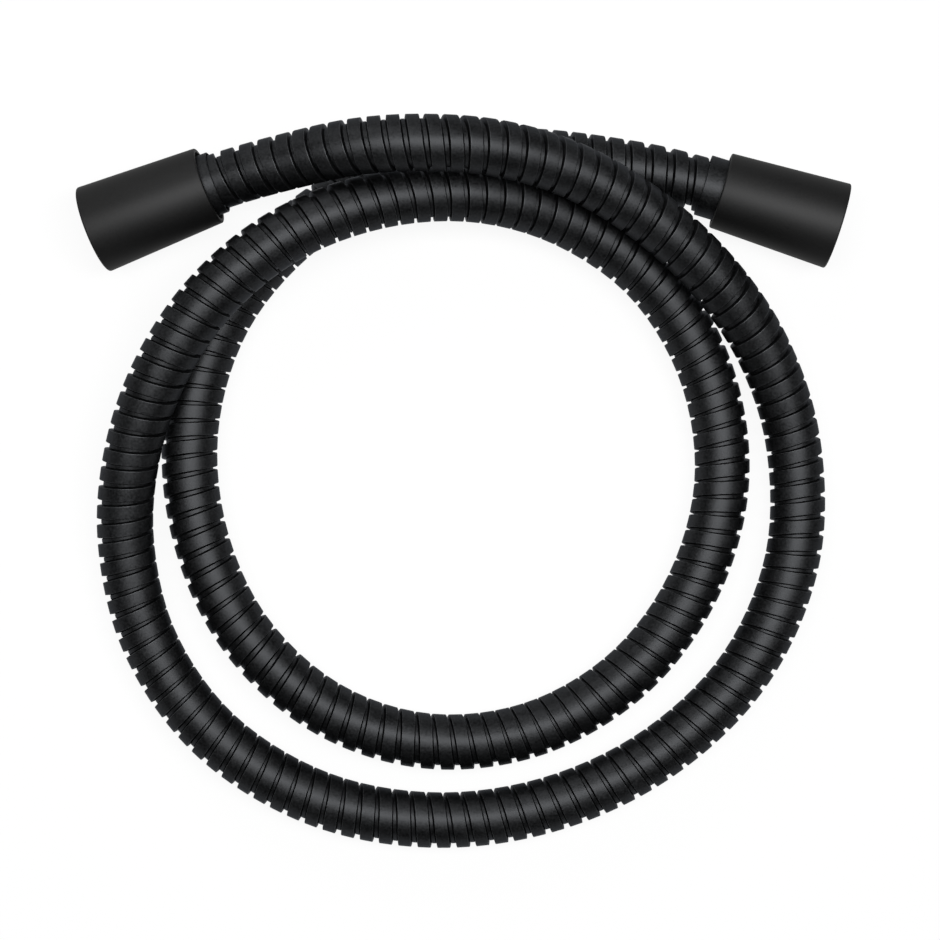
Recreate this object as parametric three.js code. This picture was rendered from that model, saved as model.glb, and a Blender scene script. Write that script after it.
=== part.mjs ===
// Shower hose: a strip-wound metal casing over a rubber inner tube, with a conical
// union nut, a sealing washer, a flanged insert and a ferrule at each end.
// Millimetres, Z up. The hose lies in two loops on the floor at Z = 0.
import * as THREE from "three";

// Hose
const hoseDiameter = 15.1;
const casingWall = 1.5;
const tubeWall = 1.35;
const casingSides = 12;
const tubeSides = 8;
const routeSteps = 80;

// Clearances between neighbouring pieces
const fitGap = 0.3;
const sleeveGap = 0.25;

// Union nut, with its half-inch pipe thread left as a plain bore
const nutLength = 33.5;
const nutMouthRadius = 12;
const nutNeckRadius = 10.55;
const nutEdge = 0.45;
const threadRadius = 9.315;
const threadDepth = 9.6;
const threadLeadIn = 1.1;
const reliefStep = 0.5;
const shoulderThickness = 2.5;
const neckRecess = 0.65;
const neckRecessDepth = 2;

// Washer, insert and ferrule
const washerThickness = 2;
const washerHole = 5;
const flangeThickness = 2.1;
const flangeEdge = 0.35;
const insertNeckRadius = 5.6;
const insertBore = 2.7;
const tailLength = 14;
const barbCount = 4;
const barbRise = 0.45;
const ferruleWall = 0.4;
const ferruleFront = 1.4;
const ferruleShownLeft = 2.5;
const ferruleShownRight = 5;

// Facets round the axis of a turned piece
const nutFacets = 48;
const innerFacets = 40;

// Centre line of the hose from the left nut to the right nut. The first three and the
// last three points lie on the axes of the nuts.
const route = [
  [-82.69, 75.96, 14.8], [-74.26, 79.1, 16.22], [-65.93, 82.2, 17.63],
  [-49.8, 86.4, 22.3], [-30.2, 90, 29.2], [-11.5, 90.9, 31.75], [7.3, 89.7, 30.05],
  [27.4, 84.5, 26.15], [47.9, 73.5, 22.35], [66.7, 57.3, 18.35], [81.4, 37.1, 12.45],
  [90.3, 12.3, 8.35], [90.3, -19.6, 7.65], [77.4, -49.7, 7.65], [53.8, -72.6, 7.65],
  [24.1, -86.6, 7.65], [-8.6, -90.9, 7.65], [-40.7, -84.6, 7.65], [-68.5, -67, 7.65],
  [-85.9, -41.8, 8.15], [-92.1, -14.6, 10.55], [-90.2, 8.6, 15.15], [-82.8, 30, 20.15],
  [-69.1, 50.5, 23.05], [-49.4, 66.8, 23.75], [-23.7, 76.7, 22.35], [2.8, 78.6, 19.15],
  [28.5, 71.8, 12.95], [50.9, 56, 9.25], [66.3, 31.3, 7.65], [70.6, 1.8, 7.65],
  [62.7, -27.2, 7.65], [44.9, -51, 7.65], [18.9, -66.1, 7.65], [-10.7, -69.3, 7.65],
  [-38.2, -60.1, 7.65], [-60.5, -39.3, 7.65], [-72.6, -12, 7.65], [-74.7, 17.5, 7.65],
  [-65.8, 46.3, 7.65], [-46.8, 69.2, 7.65], [-21.5, 84.5, 7.65], [10.1, 90.6, 7.65],
  [47.1, 87, 9.25], [64.81, 82.85, 10.04], [73.95, 80.02, 10.84],
  [83.28, 77.14, 11.66],
].map((p) => new THREE.Vector3(...p));

// Stations along the nut axis, measured from the mouth
const washerStart = threadDepth + reliefStep;
const flangeStart = washerStart + washerThickness + fitGap;
const shoulderStart = flangeStart + flangeThickness + fitGap;
const shoulderEnd = shoulderStart + shoulderThickness;
const ferruleStart = shoulderEnd + fitGap;
const ferruleSeat = ferruleStart + ferruleFront;
const casingStart = ferruleSeat + fitGap;

// Radii that follow from the fits
const casingRadius = hoseDiameter / 2;
const casingBore = casingRadius - casingWall;
const tubeRadius = casingBore * Math.cos(Math.PI / casingSides) - 0.6 * fitGap;
const tubeBore = tubeRadius - tubeWall;
const barbRadius = tubeBore * Math.cos(Math.PI / tubeSides) - fitGap;
const ferruleInner = casingRadius + sleeveGap;
const ferruleOuter = ferruleInner + ferruleWall;
const nutBore = ferruleOuter + fitGap;
const shoulderHole = insertNeckRadius + fitGap;
const reliefRadius = threadRadius + reliefStep;
const flangeRadius = threadRadius - fitGap;

function material(color, roughness, metalness) {
  return new THREE.MeshStandardMaterial({ color, roughness, metalness });
}

// A turned piece: each profile point is a radius and a station along the axis.
function turned(profile, facets) {
  const loop = [...profile, profile[0]];
  return new THREE.LatheGeometry(
    loop.map(([radius, station]) => new THREE.Vector2(radius, station)),
    facets,
  );
}

function nutProfile() {
  const neckInner = nutBore + neckRecess;
  return [
    [threadRadius + threadLeadIn, 0],
    [nutMouthRadius - nutEdge, 0],
    [nutMouthRadius, nutEdge],
    [nutNeckRadius, nutLength - nutEdge],
    [nutNeckRadius - nutEdge, nutLength],
    [neckInner, nutLength],
    [neckInner, nutLength - neckRecessDepth],
    [nutBore, nutLength - neckRecessDepth - neckRecess],
    [nutBore, shoulderEnd],
    [shoulderHole, shoulderEnd],
    [shoulderHole, shoulderStart],
    [reliefRadius, shoulderStart],
    [reliefRadius, threadDepth + reliefStep],
    [threadRadius, threadDepth],
    [threadRadius, threadLeadIn],
  ];
}

function washerProfile() {
  const end = washerStart + washerThickness;
  return [
    [washerHole, washerStart],
    [flangeRadius, washerStart],
    [flangeRadius, end],
    [washerHole, end],
  ];
}

function insertProfile() {
  const flangeEnd = flangeStart + flangeThickness;
  const tailStart = casingStart - fitGap;
  const tailEnd = tailStart + tailLength;
  const pitch = tailLength / barbCount;
  const barbs = [];
  for (let i = 0; i < barbCount; i++) {
    barbs.push([barbRadius - barbRise, tailStart + i * pitch]);
    barbs.push([barbRadius, tailStart + (i + 0.2) * pitch]);
  }
  return [
    [insertBore, flangeStart],
    [flangeRadius - flangeEdge, flangeStart],
    [flangeRadius, flangeStart + flangeEdge],
    [flangeRadius, flangeEnd],
    [insertNeckRadius, flangeEnd],
    [insertNeckRadius, tailStart],
    ...barbs,
    [barbRadius - barbRise, tailEnd],
    [insertBore, tailEnd],
  ];
}

function ferruleProfile(shown) {
  const end = nutLength + shown;
  return [
    [shoulderHole, ferruleStart],
    [ferruleOuter - nutEdge, ferruleStart],
    [ferruleOuter, ferruleStart + nutEdge],
    [ferruleOuter, end],
    [ferruleInner, end],
    [ferruleInner, ferruleSeat],
    [shoulderHole, ferruleSeat],
  ];
}

function polygon(shape, radius, sides) {
  for (let i = 0; i < sides; i++) {
    const angle = (i / sides) * 2 * Math.PI;
    const point = [radius * Math.cos(angle), radius * Math.sin(angle)];
    if (i === 0) {
      shape.moveTo(...point);
    } else {
      shape.lineTo(...point);
    }
  }
  shape.closePath();
  return shape;
}

// A pipe that follows the centre line
function pipe(path, outer, inner, sides) {
  const section = polygon(new THREE.Shape(), outer, sides);
  section.holes.push(polygon(new THREE.Path(), inner, sides));
  return new THREE.ExtrudeGeometry(section, { steps: routeSteps, extrudePath: path });
}

const hose = new THREE.Group();
const satinBlack = [0x222425, 0.42, 0.35];

function add(name, geometry, finish, place) {
  const mesh = new THREE.Mesh(geometry, material(...finish));
  mesh.name = name;
  if (place) {
    mesh.quaternion.copy(place.turn);
    mesh.position.copy(place.mouth);
  }
  hose.add(mesh);
}

const path = new THREE.CatmullRomCurve3(route);
path.arcLengthDivisions = 2000;
add("casing", pipe(path, casingRadius, casingBore, casingSides), satinBlack);
add("inner_tube", pipe(path, tubeRadius, tubeBore, tubeSides), [0x15161a, 0.8, 0]);

// The mouth of a nut and the turn of its axis, from the first points of the route there
function endPlace(tip, next) {
  const inward = next.clone().sub(tip).normalize();
  return {
    mouth: tip.clone().addScaledVector(inward, -casingStart),
    turn: new THREE.Quaternion().setFromUnitVectors(new THREE.Vector3(0, 1, 0), inward),
  };
}

const ends = [
  ["a", endPlace(route[0], route[2]), ferruleShownLeft],
  ["b", endPlace(route.at(-1), route.at(-3)), ferruleShownRight],
];
for (const [letter, place, shown] of ends) {
  add("nut_" + letter, turned(nutProfile(), nutFacets), [0x262728, 0.38, 0.35], place);
  add("washer_" + letter, turned(washerProfile(), innerFacets), [0x1a1a1a, 0.85, 0], place);
  add("insert_" + letter, turned(insertProfile(), innerFacets), [0xb9a15e, 0.35, 0.9], place);
  add("ferrule_" + letter, turned(ferruleProfile(shown), nutFacets), satinBlack, place);
}

export default hose;
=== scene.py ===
"""Shower hose: a strip-wound casing lying in two loops, with a conical union nut on
each end. Metres, Z up. The wound strip and the pipe threads are grown by Geometry
Nodes along their centre lines, the inner tube is the CAD mesh, and the other pieces
are turned."""

import math

import bmesh
import bpy
from mathutils import Matrix, Vector


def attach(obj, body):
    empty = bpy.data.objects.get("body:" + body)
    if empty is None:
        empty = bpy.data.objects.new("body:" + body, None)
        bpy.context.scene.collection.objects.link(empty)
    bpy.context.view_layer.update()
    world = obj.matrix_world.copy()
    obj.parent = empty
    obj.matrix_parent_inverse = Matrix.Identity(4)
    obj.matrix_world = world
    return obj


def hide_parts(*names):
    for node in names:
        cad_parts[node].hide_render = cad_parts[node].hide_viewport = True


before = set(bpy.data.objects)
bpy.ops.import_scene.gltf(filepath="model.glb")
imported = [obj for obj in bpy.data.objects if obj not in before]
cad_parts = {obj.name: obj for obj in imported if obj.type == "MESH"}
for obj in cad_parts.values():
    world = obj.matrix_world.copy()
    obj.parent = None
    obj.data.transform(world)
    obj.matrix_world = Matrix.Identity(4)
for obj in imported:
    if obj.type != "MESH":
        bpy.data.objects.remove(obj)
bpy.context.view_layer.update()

MM = 0.001

# Hose, in millimetres
HOSE_RADIUS = 7.55
BORE_RADIUS = 6
STRIP_PITCH = 4.9
STRIP_WIDTH = 3.5
STRIP_STEPS = 27
BORE_RINGS = 202

# How far the winding has crept from an even pitch, in turns, at even distances along
# the hose
CREEP_SPACING = 40
WINDING_CREEP = [
    -0.4, -0.75, -0.65, -0.85, -1.25, -1.7, -1.9, -1.55, -1.3, -1.35, -1.45, -1.3,
    -1.05, -1.05, -1.1, -0.95, -0.7, -0.65, -1.1, -1.1, -1, -0.7, -0.3, -0.45, -0.9,
    -1.3, -1.05, -0.8, -0.75, -0.95, -1.95, -2.15,
]

# One turn of the strip across its width: distance along the hose on the metal, share
# of the groove that opens and closes in a bend, and depth below the hose's outside
STRIP_PROFILE = [
    (0, 0, 0.12), (0.04, 0, 0.035), (0.12, 0, 0.005), (0.22, 0, 0), (3.28, 0, 0),
    (3.38, 0, 0.005), (3.46, 0, 0.035), (3.5, 0, 0.12), (3.5, 0.09, 1.2),
    (3.5, 0.15, 1.45), (3.5, 0.22, 1.2), (3.5, 0.78, 1.2), (3.5, 0.85, 1.45),
    (3.5, 0.91, 1.2), (3.5, 1, 0.12),
]

# The rounded edges of the strip, by their depth, where a highlight is painted into its
# coat as a lighter colour
RIM_HIGHLIGHT_NAME = "rim"
RIM_DEPTH = 0.02
RIM_DEPTH_SPAN = 0.018

# How far ahead and behind the bend of the hose is felt
BEND_REACH = 3

# Union nut, with its stations measured from its mouth
NUT_LENGTH = 33.5
NUT_MOUTH_RADIUS = 12
NUT_NECK_RADIUS = 10.55
NUT_BORE = 8.75
NUT_SIDES = 96
NECK_RECESS = 0.65
NECK_RECESS_DEPTH = 2
NECK_RECESS_FLARE = 0.05
SHOULDER_THICKNESS = 2.5
SHOULDER_HOLE = 5.9
RELIEF_RADIUS = 9.815
RELIEF_LEAD = 0.15
THREAD_PITCH = 1.814
THREAD_ROOT = 10.478
THREAD_START = 0.45
THREAD_END = 9.6
# One pitch of the thread in the same form, with its depth inwards from the root
THREAD_PROFILE = [
    (0, 0, 0), (0.14, 0, 0.07), (0.77, 0, 1.09), (0.907, 0, 1.163), (1.044, 0, 1.09),
    (1.674, 0, 0.07), (1.814, 0, 0),
]

# Seal, insert and collar
SEAL_THICKNESS = 2
SEAL_HOLE = 5
FLANGE_RADIUS = 9.015
FLANGE_THICKNESS = 2.1
INSERT_NECK = 5.6
INSERT_BORE = 2.7
TAIL_LENGTH = 14
TAIL_TIP = 3.4
BARB_COUNT = 4
BARB_ROOT = 3.46
BARB_CREST = 3.9
BARB_RISE = 0.5
COLLAR_RADIUS = 8.45
COLLAR_WALL = 0.4
COLLAR_FRONT = 1.4
LEFT_COLLAR_SHOWN = 2.5
RIGHT_COLLAR_SHOWN = 5

# Where each piece sits in a nut, one behind the other
FIT_GAP = 0.3
SEAL_START = THREAD_END + 0.5
SEAL_END = SEAL_START + SEAL_THICKNESS
FLANGE_START = SEAL_END + FIT_GAP
FLANGE_END = FLANGE_START + FLANGE_THICKNESS
SHOULDER_START = FLANGE_END + FIT_GAP
SHOULDER_END = SHOULDER_START + SHOULDER_THICKNESS
COLLAR_START = SHOULDER_END + FIT_GAP
COLLAR_SEAT = COLLAR_START + COLLAR_FRONT
CASING_START = COLLAR_SEAT + FIT_GAP

# Centre line of the hose from the left nut to the right nut. The first three and the
# last three points lie on the axes of the nuts.
ROUTE = [
    (-82.69, 75.96, 14.8), (-74.26, 79.1, 16.22), (-65.93, 82.2, 17.63),
    (-49.8, 86.4, 22.3), (-30.2, 90, 29.2), (-11.5, 90.9, 31.75), (7.3, 89.7, 30.05),
    (27.4, 84.5, 26.15), (47.8, 73.3, 22.35), (66.5, 57.1, 18.35), (81.4, 37.1, 12.45),
    (90.3, 12.3, 8.35), (90.3, -19.6, 7.65), (77.4, -49.7, 7.65), (53.8, -72.6, 7.65),
    (24.1, -86.6, 7.65), (-8.6, -90.9, 7.65), (-40.7, -84.6, 7.65), (-68.5, -67, 7.65),
    (-85.9, -41.8, 8.15), (-92.1, -14.6, 10.55), (-90.2, 8.6, 15.15),
    (-82.8, 30, 20.15), (-69.1, 50.5, 23.05), (-49.4, 66.8, 23.75),
    (-23.7, 76.7, 22.35), (2.8, 78.6, 19.15), (28.6, 72, 12.95), (51.2, 56.3, 9.25),
    (66.3, 31.3, 7.65), (70.6, 1.8, 7.65), (62.7, -27.2, 7.65), (44.9, -51, 7.65),
    (18.9, -66.1, 7.65), (-10.7, -69.3, 7.65), (-38.2, -60.1, 7.65),
    (-60.5, -39.3, 7.65), (-72.6, -12, 7.65), (-74.7, 17.5, 7.65), (-65.8, 46.3, 7.65),
    (-46.8, 69.2, 7.65), (-21.5, 84.5, 7.65), (10.1, 90.6, 7.65), (47.1, 87, 9.25),
    (64.81, 82.85, 10.04), (73.95, 80.02, 10.84), (83.28, 77.14, 11.66),
]
ROUTE_STEP = 1.2

# Picture, with the place of the camera and what it looks at, in millimetres
PICTURE_PIXELS = 940
FOCAL_PIXELS = 2500
SENSOR_WIDTH = 36
CAMERA_PLACE = (-46.57, 4.66, 689.4)
CAMERA_TARGET = (1.08, 4.66, 8)

# Floor, in metres, a hair below the hose
FLOOR_REACH = 3
FLOOR_HEIGHT = -0.0001

# Share of the floor that is plain white to the camera, and the rest takes the shadow
FLOOR_WHITE = 0.9

# World, from its white horizon to its dim top: the Z of each direction and its strength
HORIZON_HEIGHT = 0.02
HORIZON_STRENGTH = 1.0
TOP_HEIGHT = 0.14
TOP_STRENGTH = 0.04

# Shares of fine grain and of broad cloud in the mottling of a coat
GRAIN_SHARE = 0.7
CLOUD_SHARE = 0.3

# Corners nearer than this are one, in metres
STRIP_MERGE = 2e-6
PIECE_MERGE = 3e-6


# Centre line

def smooth_route(points, step):
    """The centripetal spline through the points, sampled about every step."""
    ends = [2 * points[0] - points[1], *points, 2 * points[-1] - points[-2]]
    line = []
    for a, b, c, d in zip(ends, ends[1:], ends[2:], ends[3:]):
        ab, bc, cd = (math.sqrt((q - p).length) for p, q in ((a, b), (b, c), (c, d)))
        start = ((b - a) / ab - (c - a) / (ab + bc) + (c - b) / bc) * bc
        end = ((c - b) / bc - (d - b) / (bc + cd) + (d - c) / cd) * bc
        count = max(2, round((c - b).length / step))
        for i in range(count):
            w = i / count
            line.append(
                b + start * w
                + (3 * (c - b) - 2 * start - end) * w * w
                + (2 * (b - c) + start + end) * w ** 3
            )
    return [*line, points[-1]]


route = [Vector(point) * MM for point in ROUTE]
centre_line = smooth_route(route, ROUTE_STEP * MM)
hose_length = sum((q - p).length for p, q in zip(centre_line, centre_line[1:]))


class End:
    """One end of the hose: the mouth of its nut and the way in along its axis."""

    def __init__(self, letter, tip, further):
        self.letter = letter
        self.inward = (further - tip).normalized()
        self.mouth = tip - self.inward * CASING_START * MM
        self.side = self.inward.cross(Vector((0, 0, 1))).normalized()
        self.under = self.inward.cross(self.side)

    def at(self, station):
        return self.mouth + self.inward * station * MM

    def on_ring(self, radius, station, angle):
        out = self.side * math.cos(angle) + self.under * math.sin(angle)
        return self.at(station) + out * radius * MM


left = End("a", route[0], route[2])
right = End("b", route[-1], route[-3])


# Camera and light

def look(place, target):
    """A camera matrix at place that looks at target with Y up in the picture."""
    back = (place - target).normalized()
    across = Vector((0, 1, 0)).cross(back).normalized()
    up = back.cross(across)
    turn = Matrix((across, up, back)).transposed().to_4x4()
    return Matrix.Translation(place) @ turn


camera_data = bpy.data.cameras.new("camera")
camera_data.sensor_width = SENSOR_WIDTH
camera_data.lens = SENSOR_WIDTH * FOCAL_PIXELS / PICTURE_PIXELS
camera_data.clip_start = 0.01
camera = bpy.data.objects.new("camera", camera_data)
bpy.context.scene.collection.objects.link(camera)
camera.matrix_world = look(Vector(CAMERA_PLACE) * MM, Vector(CAMERA_TARGET) * MM)
bpy.context.scene.camera = camera
bpy.context.scene.view_settings.view_transform = "Standard"


def add_softbox(name, width, depth, watts, place):
    """A flat lamp, in metres and watts, that points at the middle of the floor."""
    data = bpy.data.lights.new(name, "AREA")
    data.shape = "RECTANGLE"
    data.size = width
    data.size_y = depth
    data.energy = watts
    lamp = bpy.data.objects.new(name, data)
    bpy.context.scene.collection.objects.link(lamp)
    lamp.matrix_world = look(Vector(place), Vector((0, 0, 0)))


add_softbox("overhead", 1.0, 0.3, 11.5, (0.03, 0.08, 0.95))
add_softbox("far_side", 0.9, 0.35, 2.5, (-0.35, 0.9, 0.6))


# Node helpers

def add_node(tree, kind, inputs=None, **settings):
    """A node with its settings made and its inputs linked or filled in."""
    node = tree.nodes.new(kind)
    for key, value in settings.items():
        setattr(node, key, value)
    for key, value in (inputs or {}).items():
        socket = node.inputs[key]
        if isinstance(value, bpy.types.NodeSocket):
            tree.links.new(value, socket)
        else:
            socket.default_value = value
    return node


def maths(tree, operation, *values):
    node = add_node(
        tree, "ShaderNodeMath", dict(enumerate(values)), operation=operation
    )
    return node.outputs[0]


def vectors(tree, operation, *values, factor=None):
    inputs = dict(enumerate(values))
    if factor is not None:
        inputs["Scale"] = factor
    node = add_node(tree, "ShaderNodeVectorMath", inputs, operation=operation)
    scalar = operation in ("DOT_PRODUCT", "LENGTH")
    return node.outputs["Value" if scalar else "Vector"]


def new_group(name, kind, inputs, outputs):
    """A node group with named inputs (kind, default) and outputs (kind)."""
    tree = bpy.data.node_groups.new(name, kind)
    for label, (socket_kind, default) in inputs.items():
        socket = tree.interface.new_socket(
            name=label, in_out="INPUT", socket_type=socket_kind
        )
        if default is not None:
            socket.default_value = default
    for label, socket_kind in outputs.items():
        tree.interface.new_socket(
            name=label, in_out="OUTPUT", socket_type=socket_kind
        )
    given = tree.nodes.new("NodeGroupInput").outputs
    result = tree.nodes.new("NodeGroupOutput").inputs
    return tree, given, result


# Floor and world

def seen_directly(tree):
    """1 for a ray from the camera, a glossy one or a transmitted one, otherwise 0."""
    rays = add_node(tree, "ShaderNodeLightPath").outputs
    some = maths(tree, "MAXIMUM", rays["Is Camera Ray"], rays["Is Glossy Ray"])
    return maths(tree, "MAXIMUM", some, rays["Is Transmission Ray"])


def make_world():
    """White along the horizon and darker overhead, as in a studio."""
    world = bpy.data.worlds.new("studio")
    bpy.context.scene.world = world
    world.use_nodes = True
    tree = world.node_tree
    tree.nodes.clear()
    direction = add_node(tree, "ShaderNodeTexCoord").outputs["Generated"]
    height = add_node(
        tree, "ShaderNodeSeparateXYZ", {"Vector": direction}
    ).outputs["Z"]
    strength = add_node(
        tree,
        "ShaderNodeMapRange",
        {
            "Value": height, "From Min": HORIZON_HEIGHT, "From Max": TOP_HEIGHT,
            "To Min": HORIZON_STRENGTH, "To Max": TOP_STRENGTH,
        },
        interpolation_type="SMOOTHSTEP",
    ).outputs["Result"]
    backdrop = add_node(
        tree, "ShaderNodeBackground", {"Color": (1, 1, 1, 1), "Strength": strength}
    )
    add_node(
        tree, "ShaderNodeOutputWorld", {"Surface": backdrop.outputs["Background"]}
    )


def make_floor():
    """White paper that shows as the white background and keeps a faint shadow."""
    finish = bpy.data.materials.new("white_floor")
    finish.use_nodes = True
    tree = finish.node_tree
    tree.nodes.clear()
    paper = add_node(
        tree, "ShaderNodeBsdfDiffuse", {"Color": (0.9, 0.9, 0.9, 1)}
    )
    white = add_node(
        tree, "ShaderNodeEmission", {"Color": (1, 1, 1, 1), "Strength": 1.0}
    )
    share = maths(tree, "MULTIPLY", seen_directly(tree), FLOOR_WHITE)
    mixed = add_node(
        tree,
        "ShaderNodeMixShader",
        {0: share, 1: paper.outputs["BSDF"], 2: white.outputs["Emission"]},
    )
    add_node(
        tree, "ShaderNodeOutputMaterial", {"Surface": mixed.outputs["Shader"]}
    )
    mesh = bpy.data.meshes.new("floor")
    corners = [
        (x * FLOOR_REACH, y * FLOOR_REACH, FLOOR_HEIGHT)
        for x, y in ((-1, -1), (1, -1), (1, 1), (-1, 1))
    ]
    mesh.from_pydata(corners, [], [(0, 1, 2, 3)])
    mesh.materials.append(finish)
    floor = bpy.data.objects.new("floor", mesh)
    bpy.context.scene.collection.objects.link(floor)


make_world()
make_floor()


# Finishes

def make_uneven_coat_and_edge_highlight():
    """Fine mottling and broad cloudiness of a sprayed or plated surface, and a painted
    highlight on the rims."""
    tree, given, result = new_group(
        "uneven_coat_and_edge_highlight",
        "ShaderNodeTree",
        {
            "Colour": ("NodeSocketColor", (0.02, 0.02, 0.02, 1)),
            "Roughness": ("NodeSocketFloat", 0.45),
            "Grain Size": ("NodeSocketFloat", 0.0008),
            "Cloud Size": ("NodeSocketFloat", 0.012),
            "Unevenness": ("NodeSocketFloat", 0.3),
            "Grain Height": ("NodeSocketFloat", 0.00002),
            "Rim Highlight": ("NodeSocketFloat", 0.0),
            "Rim Gain": ("NodeSocketFloat", 0.0),
        },
        {
            "Colour": "NodeSocketColor",
            "Roughness": "NodeSocketFloat",
            "Normal": "NodeSocketVector",
        },
    )
    place = add_node(tree, "ShaderNodeTexCoord").outputs["Object"]
    grain = add_node(
        tree,
        "ShaderNodeTexNoise",
        {
            "Vector": place,
            "Scale": maths(tree, "DIVIDE", 1.0, given["Grain Size"]),
            "Detail": 3.0,
            "Roughness": 0.6,
        },
    ).outputs[0]
    cloud = add_node(
        tree,
        "ShaderNodeTexNoise",
        {
            "Vector": place,
            "Scale": maths(tree, "DIVIDE", 1.0, given["Cloud Size"]),
            "Detail": 2.0,
        },
    ).outputs[0]
    fine = maths(tree, "MULTIPLY", grain, GRAIN_SHARE)
    both = maths(tree, "MULTIPLY_ADD", cloud, CLOUD_SHARE, fine)
    swing = maths(tree, "SUBTRACT", both, 0.5)
    share = maths(tree, "MULTIPLY", swing, given["Unevenness"])
    tone = maths(tree, "MULTIPLY_ADD", share, 2.0, 1.0)
    # Painted highlight: the colour is made lighter on the marked rims
    highlight_lift = maths(tree, "MULTIPLY_ADD", given["Rim Highlight"], given["Rim Gain"], 1.0)
    toned = maths(tree, "MULTIPLY", tone, highlight_lift)
    colour = vectors(tree, "SCALE", given["Colour"], factor=toned)
    rough = maths(tree, "MULTIPLY_ADD", share, 0.4, given["Roughness"])
    bump = add_node(
        tree,
        "ShaderNodeBump",
        {"Height": grain, "Distance": given["Grain Height"], "Strength": 1.0},
    )
    tree.links.new(colour, result["Colour"])
    tree.links.new(rough, result["Roughness"])
    tree.links.new(bump.outputs["Normal"], result["Normal"])
    return tree


uneven_coat_and_edge_highlight = make_uneven_coat_and_edge_highlight()


def make_finish(name, coat, **sockets):
    """A finish from the uneven coat and its painted rim highlight, with its own values,
    and plain shader sockets.
    """
    finish = bpy.data.materials.new(name)
    finish.use_nodes = True
    tree = finish.node_tree
    tree.nodes.clear()
    surface = add_node(tree, "ShaderNodeGroup", node_tree=uneven_coat_and_edge_highlight)
    for label, value in coat.items():
        surface.inputs[label].default_value = value
    # The rim mark lightens the colour as a painted highlight
    if "Rim Gain" in coat:
        rim = add_node(tree, "ShaderNodeAttribute", attribute_name=RIM_HIGHLIGHT_NAME)
        tree.links.new(rim.outputs["Fac"], surface.inputs["Rim Highlight"])
    shader = add_node(
        tree,
        "ShaderNodeBsdfPrincipled",
        {
            "Base Color": surface.outputs["Colour"],
            "Roughness": surface.outputs["Roughness"],
            "Normal": surface.outputs["Normal"],
        },
    )
    for label, value in sockets.items():
        shader.inputs[label.replace("_", " ")].default_value = value
    add_node(
        tree, "ShaderNodeOutputMaterial", {"Surface": shader.outputs["BSDF"]}
    )
    return finish


# The casing's colour is painted lighter on its rims, as a highlight
casing_black = make_finish(
    "casing_black",
    {
        "Colour": (0.031, 0.032, 0.0337, 1), "Roughness": 0.5,
        "Grain Size": 0.0006, "Cloud Size": 0.006, "Unevenness": 1.2,
        "Grain Height": 0.000015, "Rim Gain": 0.8,
    },
    Metallic=1.0, Specular_Tint=(0.55, 0.56, 0.58, 1),
)
nut_black = make_finish(
    "nut_black",
    {
        "Colour": (0.0325, 0.0326, 0.0328, 1), "Roughness": 0.58,
        "Grain Size": 0.0005, "Cloud Size": 0.014, "Unevenness": 0.3,
        "Grain Height": 0.000006,
    },
    Metallic=1.0, Specular_Tint=(0.7, 0.7, 0.7, 1),
)
tube_rubber = make_finish(
    "tube_rubber",
    {
        "Colour": (0.012, 0.012, 0.013, 1), "Roughness": 0.7,
        "Grain Size": 0.0009, "Cloud Size": 0.02, "Unevenness": 0.3,
        "Grain Height": 0.00003,
    },
    IOR=1.45,
)
washer_rubber = make_finish(
    "washer_rubber",
    {
        "Colour": (0.02, 0.02, 0.02, 1), "Roughness": 0.75,
        "Grain Size": 0.0005, "Cloud Size": 0.006, "Unevenness": 0.35,
        "Grain Height": 0.00002,
    },
    IOR=1.45,
)
insert_brass = make_finish(
    "insert_brass",
    {
        "Colour": (0.6, 0.44, 0.2, 1), "Roughness": 0.3,
        "Grain Size": 0.0004, "Cloud Size": 0.005, "Unevenness": 0.3,
        "Grain Height": 0.000006,
    },
    Metallic=1.0,
)


# Wound strip

def make_route_point():
    """The point at a distance along the path and an angle and radius round it."""
    tree, given, result = new_group(
        "route_point",
        "GeometryNodeTree",
        {
            "Path": ("NodeSocketGeometry", None),
            "Along": ("NodeSocketFloat", 0.0),
            "Angle": ("NodeSocketFloat", 0.0),
            "Radius": ("NodeSocketFloat", 0.0),
        },
        {"Position": "NodeSocketVector", "Outward": "NodeSocketVector"},
    )
    sample = add_node(
        tree,
        "GeometryNodeSampleCurve",
        {"Curves": given["Path"], "Length": given["Along"]},
        mode="LENGTH",
        use_all_curves=True,
    ).outputs
    tangent = sample["Tangent"]
    upright = (0.0, 0.0, 1.0)
    side = vectors(
        tree, "NORMALIZE", vectors(tree, "CROSS_PRODUCT", tangent, upright)
    )
    under = vectors(tree, "CROSS_PRODUCT", tangent, side)
    cosine = maths(tree, "COSINE", given["Angle"])
    sine = maths(tree, "SINE", given["Angle"])
    outward = vectors(
        tree,
        "ADD",
        vectors(tree, "SCALE", side, factor=cosine),
        vectors(tree, "SCALE", under, factor=sine),
    )
    offset = vectors(tree, "SCALE", outward, factor=given["Radius"])
    position = vectors(tree, "ADD", sample["Position"], offset)
    tree.links.new(position, result["Position"])
    tree.links.new(outward, result["Outward"])
    return tree


route_point = make_route_point()


def loose_points(tree, source):
    """The points of an object, and how many there are."""
    points = add_node(
        tree, "GeometryNodeObjectInfo", {"Object": source}
    ).outputs["Geometry"]
    count = add_node(
        tree, "GeometryNodeAttributeDomainSize", {"Geometry": points}
    ).outputs["Point Count"]
    return points, count


def place_of_point(tree, points, index):
    """The X, Y and Z of one of the points."""
    sample = add_node(
        tree,
        "GeometryNodeSampleIndex",
        {"Geometry": points, "Index": index},
        data_type="FLOAT_VECTOR",
        domain="POINT",
        clamp=True,
    )
    place = add_node(tree, "GeometryNodeInputPosition").outputs["Position"]
    value = [s for s in sample.inputs if s.name == "Value" and s.enabled][0]
    tree.links.new(place, value)
    result = [s for s in sample.outputs if s.enabled][0]
    return add_node(tree, "ShaderNodeSeparateXYZ", {"Vector": result}).outputs


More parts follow.
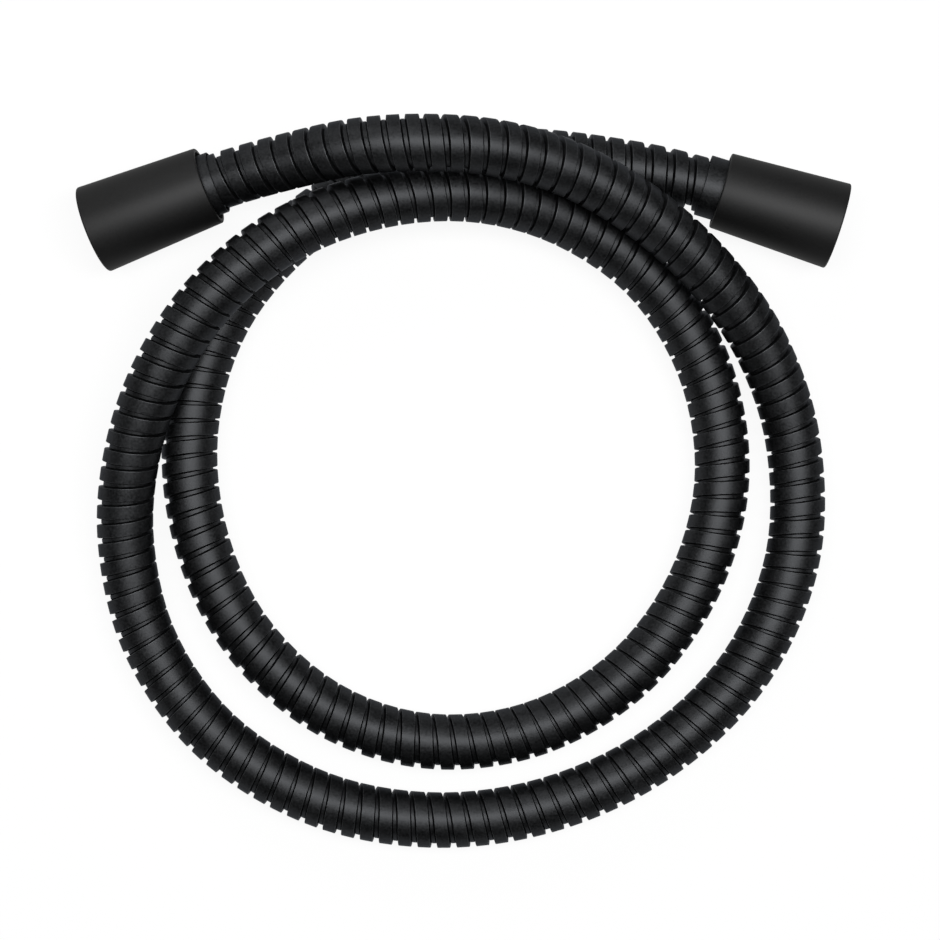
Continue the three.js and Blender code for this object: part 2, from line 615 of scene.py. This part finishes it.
def distance_at(tree, marks, turn):
    """The distance along the path at a turn, between the marks of whole turns."""
    whole = maths(tree, "FLOOR", turn)
    here = place_of_point(tree, marks, whole)["X"]
    there = place_of_point(tree, marks, maths(tree, "ADD", whole, 1.0))["X"]
    gone = maths(tree, "SUBTRACT", turn, whole)
    reach = maths(tree, "SUBTRACT", there, here)
    return maths(tree, "MULTIPLY_ADD", gone, reach, here)


def tangent_at(tree, path, along):
    node = add_node(
        tree,
        "GeometryNodeSampleCurve",
        {"Curves": path, "Length": along},
        mode="LENGTH",
        use_all_curves=True,
    )
    return node.outputs["Tangent"]


def finish_tree(tree, mesh, given, result):
    """Join what touches, realize it and give it its material."""
    merged = add_node(
        tree, "GeometryNodeMergeByDistance", {"Geometry": mesh, "Distance": STRIP_MERGE}
    )
    real = add_node(
        tree, "GeometryNodeRealizeInstances", {"Geometry": merged.outputs["Geometry"]}
    )
    dressed = add_node(
        tree,
        "GeometryNodeSetMaterial",
        {"Geometry": real.outputs["Geometry"], "Material": given["Finish"]},
    )
    tree.links.new(dressed.outputs["Geometry"], result["Geometry"])


def make_wound_strip():
    """A profile wound round the path in a right-handed helix. The metal keeps its
    width in a bend and the groove opens outside it and closes inside it. The rims of
    the metal are marked for a highlight painted into its finish."""
    tree, given, result = new_group(
        "wound_strip",
        "GeometryNodeTree",
        {
            "Geometry": ("NodeSocketGeometry", None),
            "Profile": ("NodeSocketObject", None),
            "Radius": ("NodeSocketFloat", HOSE_RADIUS * MM),
            "End Radius": ("NodeSocketFloat", BORE_RADIUS * MM),
            "Turn Marks": ("NodeSocketObject", None),
            "Metal Width": ("NodeSocketFloat", STRIP_WIDTH * MM),
            "Steps per Turn": ("NodeSocketInt", STRIP_STEPS),
            "Finish": ("NodeSocketMaterial", None),
        },
        {"Geometry": "NodeSocketGeometry"},
    )
    path = given["Geometry"]
    steps = given["Steps per Turn"]
    profile, points = loose_points(tree, given["Profile"])
    marks, mark_count = loose_points(tree, given["Turn Marks"])
    turns = maths(tree, "SUBTRACT", mark_count, 2)
    rows = maths(tree, "MULTIPLY_ADD", steps, turns, 1)
    grid = add_node(
        tree, "GeometryNodeMeshGrid", {"Vertices X": rows, "Vertices Y": points}
    ).outputs["Mesh"]

    index = add_node(tree, "GeometryNodeInputIndex").outputs["Index"]
    row = maths(tree, "FLOOR", maths(tree, "DIVIDE", index, points))
    column = maths(tree, "MODULO", index, points)
    corner = place_of_point(tree, profile, column)
    on_metal, on_groove, depth = corner["X"], corner["Y"], corner["Z"]

    turn = maths(tree, "DIVIDE", row, steps)
    angle = maths(tree, "MULTIPLY", turn, math.tau)
    along = distance_at(tree, marks, turn)
    next_along = distance_at(tree, marks, maths(tree, "ADD", turn, 1.0))
    pitch = maths(tree, "SUBTRACT", next_along, along)
    length = add_node(
        tree, "GeometryNodeCurveLength", {"Curve": path}
    ).outputs["Length"]

    # The bend of the path, from its tangents a little ahead and behind
    reach = BEND_REACH * MM
    ahead = tangent_at(tree, path, maths(tree, "ADD", along, reach))
    behind = tangent_at(tree, path, maths(tree, "SUBTRACT", along, reach))
    bend = vectors(
        tree,
        "SCALE",
        vectors(tree, "SUBTRACT", ahead, behind),
        factor=1 / (2 * reach),
    )
    facing = add_node(
        tree,
        "GeometryNodeGroup",
        {"Path": path, "Along": along, "Angle": angle},
        node_tree=route_point,
    ).outputs["Outward"]
    inside = vectors(tree, "DOT_PRODUCT", bend, facing)
    shrink = maths(tree, "MULTIPLY", inside, given["Radius"])
    stretch = maths(tree, "SUBTRACT", 1.0, shrink)

    # What lies past an end of the path is held there and drawn in to the end radius
    metal = maths(tree, "DIVIDE", on_metal, stretch)
    taken = maths(tree, "DIVIDE", given["Metal Width"], stretch)
    open_width = maths(tree, "SUBTRACT", pitch, taken)
    groove = maths(tree, "MULTIPLY", on_groove, open_width)
    station = maths(tree, "ADD", along, maths(tree, "ADD", metal, groove))
    held = maths(tree, "MINIMUM", maths(tree, "MAXIMUM", station, 0.0), length)
    past = maths(tree, "ABSOLUTE", maths(tree, "SUBTRACT", station, held))
    off_end = maths(tree, "GREATER_THAN", past, 1e-7)
    full = maths(tree, "SUBTRACT", given["Radius"], depth)
    to_end_radius = maths(tree, "SUBTRACT", given["End Radius"], full)
    drop = maths(tree, "MULTIPLY", off_end, to_end_radius)
    position = add_node(
        tree,
        "GeometryNodeGroup",
        {
            "Path": path, "Along": held, "Angle": angle,
            "Radius": maths(tree, "ADD", full, drop),
        },
        node_tree=route_point,
    ).outputs["Position"]
    wrapped = add_node(
        tree, "GeometryNodeSetPosition", {"Geometry": grid, "Position": position}
    )
    marked = add_node(
        tree,
        "GeometryNodeStoreNamedAttribute",
        {"Geometry": wrapped.outputs["Geometry"], "Name": RIM_HIGHLIGHT_NAME},
        data_type="FLOAT",
        domain="POINT",
    )
    # Marks the rounded rims, where the finish paints a highlight
    rim = maths(tree, "COMPARE", depth, RIM_DEPTH * MM, RIM_DEPTH_SPAN * MM)
    value = [s for s in marked.inputs if s.name == "Value" and s.enabled][0]
    tree.links.new(rim, value)
    finish_tree(tree, marked.outputs["Geometry"], given, result)
    return tree


def make_bore_wall():
    """The plain wall of the bore along the path."""
    tree, given, result = new_group(
        "bore_wall",
        "GeometryNodeTree",
        {
            "Geometry": ("NodeSocketGeometry", None),
            "Radius": ("NodeSocketFloat", BORE_RADIUS * MM),
            "Rings": ("NodeSocketInt", BORE_RINGS),
            "Steps per Turn": ("NodeSocketInt", STRIP_STEPS),
            "Finish": ("NodeSocketMaterial", None),
        },
        {"Geometry": "NodeSocketGeometry"},
    )
    steps = given["Steps per Turn"]
    columns = maths(tree, "ADD", steps, 1)
    grid = add_node(
        tree,
        "GeometryNodeMeshGrid",
        {"Vertices X": given["Rings"], "Vertices Y": columns},
    ).outputs["Mesh"]
    index = add_node(tree, "GeometryNodeInputIndex").outputs["Index"]
    ring = maths(tree, "FLOOR", maths(tree, "DIVIDE", index, columns))
    column = maths(tree, "MODULO", index, columns)
    angle = maths(tree, "MULTIPLY", maths(tree, "DIVIDE", column, steps), math.tau)
    length = add_node(
        tree, "GeometryNodeCurveLength", {"Curve": given["Geometry"]}
    ).outputs["Length"]
    last = maths(tree, "SUBTRACT", given["Rings"], 1)
    along = maths(tree, "MULTIPLY", maths(tree, "DIVIDE", ring, last), length)
    position = add_node(
        tree,
        "GeometryNodeGroup",
        {
            "Path": given["Geometry"], "Along": along, "Angle": angle,
            "Radius": given["Radius"],
        },
        node_tree=route_point,
    ).outputs["Position"]
    wrapped = add_node(
        tree, "GeometryNodeSetPosition", {"Geometry": grid, "Position": position}
    )
    finish_tree(tree, wrapped.outputs["Geometry"], given, result)
    return tree


wound_strip = make_wound_strip()
bore_wall = make_bore_wall()


def make_path(name, points):
    """A curve object of straight lines from point to point."""
    data = bpy.data.curves.new(name, "CURVE")
    data.dimensions = "3D"
    spline = data.splines.new("POLY")
    spline.points.add(len(points) - 1)
    for spot, point in zip(spline.points, points):
        spot.co = (*point, 1)
    path = bpy.data.objects.new(name, data)
    bpy.context.scene.collection.objects.link(path)
    return path


def make_points(name, places):
    """An object of loose points, which a tree reads as a list."""
    mesh = bpy.data.meshes.new(name)
    mesh.from_pydata(places, [], [])
    points = bpy.data.objects.new(name, mesh)
    bpy.context.scene.collection.objects.link(points)
    return points


def make_profile(name, corners):
    """A profile's corners: on the metal, share of the groove, depth."""
    return make_points(name, [(a * MM, g, d * MM) for a, g, d in corners])


def grown(path, tree, values):
    """The plain mesh that a Geometry Nodes tree makes of a path."""
    modifier = path.modifiers.new(tree.name, "NODES")
    modifier.node_group = tree
    for item in tree.interface.items_tree:
        if item.in_out == "INPUT" and item.name in values:
            modifier[item.identifier] = values[item.name]
    depsgraph = bpy.context.evaluated_depsgraph_get()
    mesh = bpy.data.meshes.new_from_object(path.evaluated_get(depsgraph))
    path.modifiers.remove(modifier)
    return mesh


# Making pieces

def finished_piece(name, meshes, finish, body, crease=35, standing_for=None):
    """One closed piece from its meshes, riding on its body, with the CAD part it stands
    for hidden.
    """
    shape = bmesh.new()
    for mesh in meshes:
        shape.from_mesh(mesh)
        bpy.data.meshes.remove(mesh)
    bmesh.ops.remove_doubles(shape, verts=shape.verts, dist=PIECE_MERGE)
    bmesh.ops.dissolve_degenerate(shape, dist=1e-7, edges=shape.edges)
    bmesh.ops.recalc_face_normals(shape, faces=shape.faces)
    if shape.calc_volume(signed=True) < 0:
        bmesh.ops.reverse_faces(shape, faces=shape.faces)
    mesh = bpy.data.meshes.new(name)
    shape.to_mesh(mesh)
    shape.free()
    mesh.materials.clear()
    mesh.materials.append(finish)
    mesh.shade_smooth()
    mesh.set_sharp_from_angle(angle=math.radians(crease))
    piece = bpy.data.objects.new(name, mesh)
    bpy.context.scene.collection.objects.link(piece)
    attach(piece, body)
    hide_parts(standing_for or name)
    return piece


def rounded(corners, arc_steps=4):
    """A closed outline of (radius, station, rounding) corners, all in millimetres."""
    outline = []
    count = len(corners)
    for i, (radius, station, rounding) in enumerate(corners):
        here = Vector((radius, station))
        if rounding == 0:
            outline.append(here)
            continue
        before = Vector(corners[i - 1][:2]) - here
        after = Vector(corners[(i + 1) % count][:2]) - here
        reach = min(rounding, 0.48 * before.length, 0.48 * after.length)
        start = here + before.normalized() * reach
        end = here + after.normalized() * reach
        for k in range(arc_steps + 1):
            w = k / arc_steps
            bow = here * 2 * w * (1 - w)
            outline.append(start * (1 - w) ** 2 + bow + end * w * w)
    return outline


def turned(outline, end, sides=NUT_SIDES, closed=True):
    """The mesh of an outline turned about the axis of an end of the hose."""
    count = len(outline)
    corners = [
        end.on_ring(radius, station, math.tau * k / sides)
        for radius, station in outline
        for k in range(sides)
    ]
    faces = []
    for i in range(count if closed else count - 1):
        j = (i + 1) % count
        for k in range(sides):
            n = (k + 1) % sides
            faces.append(
                (i * sides + k, j * sides + k, j * sides + n, i * sides + n)
            )
    mesh = bpy.data.meshes.new("turned")
    mesh.from_pydata(corners, [], faces)
    return mesh


# Casing

def turns_at(distance):
    """How many turns the winding has made at a distance in millimetres, with its creep
    eased from each value to the next."""
    spot = min(max(distance / CREEP_SPACING, 0), len(WINDING_CREEP) - 1.001)
    i = int(spot)
    w = spot - i
    w = w * w * (3 - 2 * w)
    creep = WINDING_CREEP[i] * (1 - w) + WINDING_CREEP[i + 1] * w
    return distance / STRIP_PITCH + creep


def casing_marks():
    """The distance along the hose of each whole turn, from before its start to after
    its end."""
    marks = []
    step = 0.25
    distance = -3 * STRIP_PITCH
    while distance < hose_length / MM + 3 * STRIP_PITCH:
        before, after = turns_at(distance), turns_at(distance + step)
        if math.floor(after) > math.floor(before):
            share = (math.floor(after) - before) / (after - before)
            marks.append((distance + step * share) * MM)
        distance += step
    first = max(i for i, mark in enumerate(marks) if mark <= -STRIP_PITCH * MM)
    last = min(i for i, mark in enumerate(marks) if mark >= hose_length)
    return marks[first:last + 2]


path = make_path("centre_line", centre_line)
strip_profile = make_profile("strip_profile", STRIP_PROFILE)
casing_turns = make_points("casing_turns", [(mark, 0, 0) for mark in casing_marks()])
strip = grown(path, wound_strip, {
    "Profile": strip_profile, "Turn Marks": casing_turns,
    "Radius": HOSE_RADIUS * MM, "End Radius": BORE_RADIUS * MM,
    "Metal Width": STRIP_WIDTH * MM, "Steps per Turn": STRIP_STEPS,
    "Finish": casing_black,
})
bore = grown(path, bore_wall, {
    "Radius": BORE_RADIUS * MM, "Rings": BORE_RINGS, "Steps per Turn": STRIP_STEPS,
    "Finish": casing_black,
})
casing = finished_piece(
    "wound_casing", [strip, bore], casing_black, "hose",
    crease=50, standing_for="casing",
)
for guide in (path, strip_profile, casing_turns):
    bpy.data.objects.remove(guide)


# Ends

def nut_outline():
    """The outside, neck, shoulder and relief of a nut, up to both ends of its thread."""
    neck_bore = NUT_BORE + NECK_RECESS
    recess_floor = NUT_LENGTH - NECK_RECESS_DEPTH
    return rounded([
        (THREAD_ROOT, THREAD_START, 0),
        (THREAD_ROOT + THREAD_START, 0, 0.12),
        (NUT_MOUTH_RADIUS, 0, 0.6),
        (NUT_NECK_RADIUS, NUT_LENGTH, 0.6),
        (neck_bore + NECK_RECESS_FLARE, NUT_LENGTH, 0.2),
        (neck_bore, recess_floor, 0.3),
        (NUT_BORE, recess_floor - NECK_RECESS, 0.2),
        (NUT_BORE, SHOULDER_END, 0.2),
        (SHOULDER_HOLE, SHOULDER_END, 0.2),
        (SHOULDER_HOLE, SHOULDER_START, 0.2),
        (RELIEF_RADIUS, SHOULDER_START, 0.15),
        (RELIEF_RADIUS, SEAL_START, 0.1),
        (THREAD_ROOT, SEAL_START - RELIEF_LEAD, 0.1),
        (THREAD_ROOT, THREAD_END, 0),
    ])


def seal_outline():
    """A flat ring of the flange's width."""
    return rounded([
        (SEAL_HOLE, SEAL_START, 0.15),
        (FLANGE_RADIUS, SEAL_START, 0.25),
        (FLANGE_RADIUS, SEAL_END, 0.25),
        (SEAL_HOLE, SEAL_END, 0.15),
    ])


def insert_outline():
    """The flange, the neck and the barbed tail that holds the tube."""
    tail_end = COLLAR_SEAT + TAIL_LENGTH
    barbs = []
    for i in range(BARB_COUNT):
        start = COLLAR_SEAT + TAIL_LENGTH / BARB_COUNT * i
        barbs += [(BARB_ROOT, start, 0.1), (BARB_CREST, start + BARB_RISE, 0.12)]
    return rounded([
        (INSERT_BORE, FLANGE_START, 0.3),
        (FLANGE_RADIUS, FLANGE_START, 0.3),
        (FLANGE_RADIUS, FLANGE_END, 0.2),
        (INSERT_NECK, FLANGE_END, 0.2),
        (INSERT_NECK, COLLAR_SEAT, 0.2),
        *barbs,
        (TAIL_TIP, tail_end, 0.15),
        (INSERT_BORE, tail_end, 0.2),
    ], arc_steps=2)


def collar_outline(shown):
    """A sleeve over the casing's end, of which a length is shown outside the nut."""
    end = NUT_LENGTH + shown
    inner = COLLAR_RADIUS - COLLAR_WALL
    return rounded([
        (SHOULDER_HOLE, COLLAR_START, 0.1),
        (COLLAR_RADIUS, COLLAR_START, 0.4),
        (COLLAR_RADIUS, end, 0.25),
        (inner, end, 0.12),
        (inner, COLLAR_SEAT, 0.1),
        (SHOULDER_HOLE, COLLAR_SEAT, 0.1),
    ])


thread_profile = make_profile("thread_profile", THREAD_PROFILE)
turn_count = math.ceil((THREAD_END - THREAD_START) / THREAD_PITCH) + 1
thread_turns = make_points(
    "thread_turns", [((i - 1) * THREAD_PITCH * MM, 0, 0) for i in range(turn_count + 2)]
)


def make_end(end, shown):
    """Nut, seal, insert and collar of one end of the hose."""
    letter = end.letter
    line = make_path("thread_line", [end.at(THREAD_START), end.at(THREAD_END)])
    thread = grown(line, wound_strip, {
        "Profile": thread_profile, "Turn Marks": thread_turns,
        "Radius": THREAD_ROOT * MM, "End Radius": THREAD_ROOT * MM,
        "Metal Width": THREAD_PITCH * MM, "Steps per Turn": NUT_SIDES,
        "Finish": nut_black,
    })
    bpy.data.objects.remove(line)
    nut = finished_piece(
        "union_nut_" + letter,
        [turned(nut_outline(), end, closed=False), thread],
        nut_black, "nut_" + letter, standing_for="nut_" + letter,
    )
    seal = finished_piece(
        "seal_" + letter, [turned(seal_outline(), end)],
        washer_rubber, "hose", standing_for="washer_" + letter,
    )
    insert = finished_piece(
        "barbed_insert_" + letter, [turned(insert_outline(), end, 64)],
        insert_brass, "hose", standing_for="insert_" + letter,
    )
    collar = finished_piece(
        "collar_" + letter, [turned(collar_outline(shown), end)],
        casing_black, "hose", standing_for="ferrule_" + letter,
    )
    return [nut, seal, insert, collar]


end_pieces = [
    *make_end(left, LEFT_COLLAR_SHOWN), *make_end(right, RIGHT_COLLAR_SHOWN),
]
for guide in (thread_profile, thread_turns):
    bpy.data.objects.remove(guide)

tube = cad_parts["inner_tube"]
tube.data.materials.clear()
tube.data.materials.append(tube_rubber)
